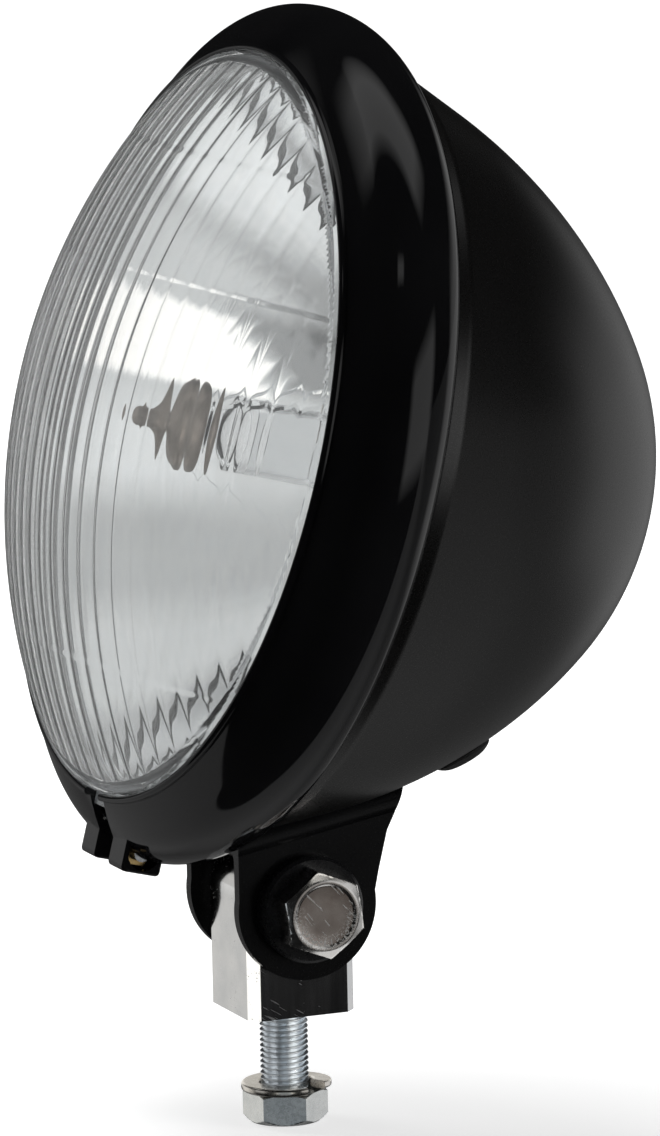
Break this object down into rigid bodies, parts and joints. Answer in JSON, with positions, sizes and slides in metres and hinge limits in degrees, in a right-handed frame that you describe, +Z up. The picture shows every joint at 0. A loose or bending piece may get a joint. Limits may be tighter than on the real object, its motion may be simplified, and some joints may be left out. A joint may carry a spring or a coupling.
{
  "type": "motorcycle headlight",
  "caption": "Round headlight with a fluted domed glass, a fat black trim ring and a deep black shell, held from below by a tilting clevis on a square block with a mounting bolt.",
  "frame": {"origin": "centre of the mounting block's bottom face, where it seats on the machine's plate", "axes": "+Z up along the mounting bolt, -Y the way the lamp faces, +X the side with the pivot bolt's head"},
  "size_m": [0.166, 0.1218, 0.2157],
  "materials": {
    "shell_paint": "satin",
    "ring_paint": "gloss",
    "bright_zinc": "bright zinc",
    "brass": "plain",
    "glass": "clear, fluted inside",
    "seal_rubber": "matte",
    "reflector_mirror": "mirror coating",
    "shield_metal": "dark bronze",
    "bulb_glass": "clear",
    "bulb_metal": "satin",
    "spring_steel": "satin",
    "socket_plastic": "matte",
    "boot_rubber": "matte",
    "grommet_rubber": "matte",
    "clevis_paint": "satin",
    "rivet_paint": "satin",
    "plate_steel": "plain",
    "collar_black": "satin",
    "block_metal": "bright satin",
    "washer_steel": "plain"
  },
  "bodies": {
    "mount": {"mounting_block": "block_metal", "mounting_bolt": "bright_zinc", "mounting_lock_washer": "washer_steel"},
    "lamp": {"shell": "shell_paint", "trim_ring": "ring_paint", "ring_clamp_screw": "bright_zinc", "ring_clamp_nut": "brass", "lens": "glass", "lens_seal": "seal_rubber", "reflector": "reflector_mirror", "bulb_shield": "shield_metal", "bulb_glass": "bulb_glass", "bulb_base": "bulb_metal", "bulb_terminals": "bulb_metal", "bulb_retainer": "spring_steel", "bulb_socket": "socket_plastic", "dust_boot": "boot_rubber", "wire_grommet": "grommet_rubber", "clevis": "clevis_paint", "clevis_rivets": "rivet_paint", "clevis_backplate": "plate_steel", "pivot_bolt": "bright_zinc", "pivot_collar": "collar_black", "pivot_lock_washer": "bright_zinc", "pivot_nut": "bright_zinc"}
  },
  "joints": [
    {"name": "aim_tilt", "type": "hinge", "parent": "mount", "child": "lamp", "pos_m": [0, 0, 0.022], "axis": [1, 0, 0], "range_deg": [-20, 25]}
  ]
}
